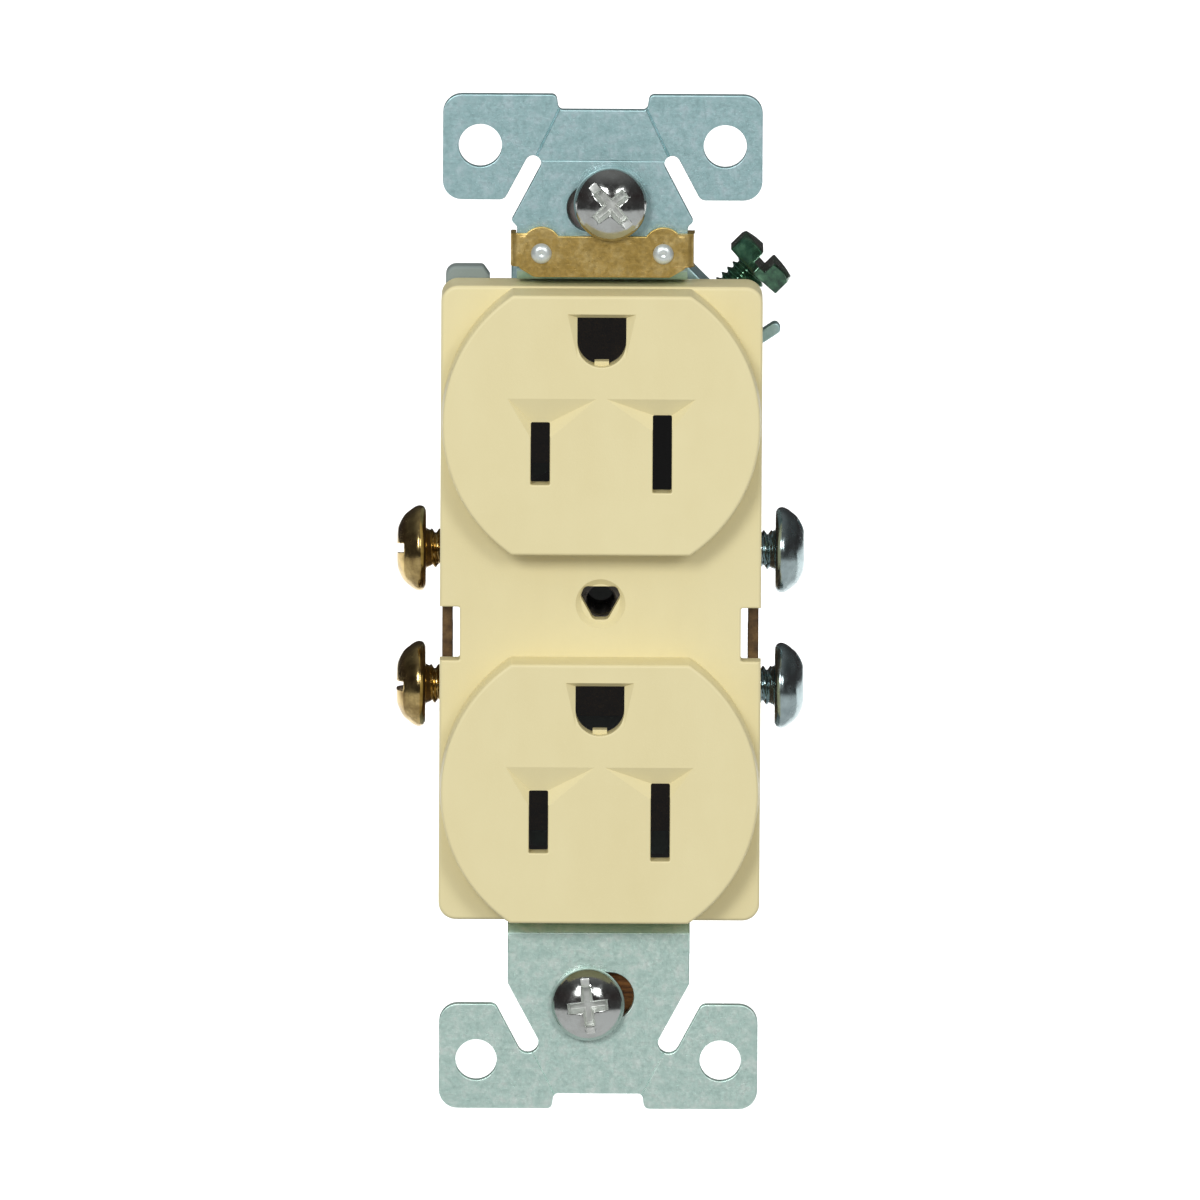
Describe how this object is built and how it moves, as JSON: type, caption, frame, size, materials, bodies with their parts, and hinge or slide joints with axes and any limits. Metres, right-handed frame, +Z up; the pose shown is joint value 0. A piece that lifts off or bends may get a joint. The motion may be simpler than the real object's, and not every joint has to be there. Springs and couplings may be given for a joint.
{
  "type": "duplex wall outlet",
  "caption": "Grounded duplex wall receptacle with a plastic cover, side terminal screws and a wrap-round steel mounting strap.",
  "frame": {"origin": "midway between the two mounting screws, in the rear plane of the strap's ears, which meets the wall box", "axes": "+Z up along the strap, +X to the right seen from the front, -Y out of the front, +Y into the wall box"},
  "size_m": [0.0424, 0.0299, 0.1072],
  "materials": {
    "ivory_nylon": "satin moulded ivory plastic",
    "grey_plastic": "smooth moulded grey plastic",
    "black_plastic": "black moulded phenolic",
    "zinc_steel": "zinc-plated sheet steel",
    "sheet_brass": "stamped sheet brass, slightly dull",
    "screw_brass": "polished brass plating with an amber tarnish",
    "bright_steel": "bright nickel plating",
    "green_steel": "dark green dyed plating",
    "dark_steel": "plain dark steel",
    "fibre": "vulcanised fibre"
  },
  "bodies": {
    "device": {"front_cover": "ivory_nylon", "inner_insulator_upper": "black_plastic", "inner_insulator_lower": "black_plastic", "back_body": "grey_plastic", "mounting_strap": "zinc_steel", "grounding_plate": "sheet_brass", "ground_contact_bar": "sheet_brass", "ground_rivet_left": "bright_steel", "ground_rivet_right": "bright_steel", "hot_contact_bar": "sheet_brass", "neutral_contact_bar": "sheet_brass", "retaining_washer_upper": "dark_steel", "retaining_washer_lower": "fibre", "assembly_screw_upper": "bright_steel", "assembly_screw_lower": "bright_steel", "plate_screw_bush": "dark_steel"},
    "hot_upper_screw": {"terminal_screw_hot_upper": "screw_brass"},
    "hot_lower_screw": {"terminal_screw_hot_lower": "screw_brass"},
    "neutral_upper_screw": {"terminal_screw_neutral_upper": "bright_steel"},
    "neutral_lower_screw": {"terminal_screw_neutral_lower": "bright_steel"},
    "ground_terminal_screw": {"ground_screw": "green_steel"},
    "upper_mounting_screw": {"mounting_screw_upper": "bright_steel"},
    "lower_mounting_screw": {"mounting_screw_lower": "bright_steel"}
  },
  "joints": [
    {"name": "hot_upper_screw_travel", "type": "slide", "parent": "device", "child": "hot_upper_screw", "axis": [1, 0, 0], "range_m": [0, 0.0017]},
    {"name": "hot_lower_screw_travel", "type": "slide", "parent": "device", "child": "hot_lower_screw", "axis": [1, 0, 0], "range_m": [0, 0.0017]},
    {"name": "neutral_upper_screw_travel", "type": "slide", "parent": "device", "child": "neutral_upper_screw", "axis": [-1, 0, 0], "range_m": [0, 0.0017]},
    {"name": "neutral_lower_screw_travel", "type": "slide", "parent": "device", "child": "neutral_lower_screw", "axis": [-1, 0, 0], "range_m": [0, 0.0017]},
    {"name": "ground_screw_travel", "type": "slide", "parent": "device", "child": "ground_terminal_screw", "axis": [-0.7071, 0, -0.7071], "range_m": [0, 0.0042]},
    {"name": "upper_mounting_screw_travel", "type": "slide", "parent": "device", "child": "upper_mounting_screw", "axis": [0, -1, 0], "range_m": [0, 0.02]},
    {"name": "lower_mounting_screw_travel", "type": "slide", "parent": "device", "child": "lower_mounting_screw", "axis": [0, -1, 0], "range_m": [0, 0.02]}
  ]
}
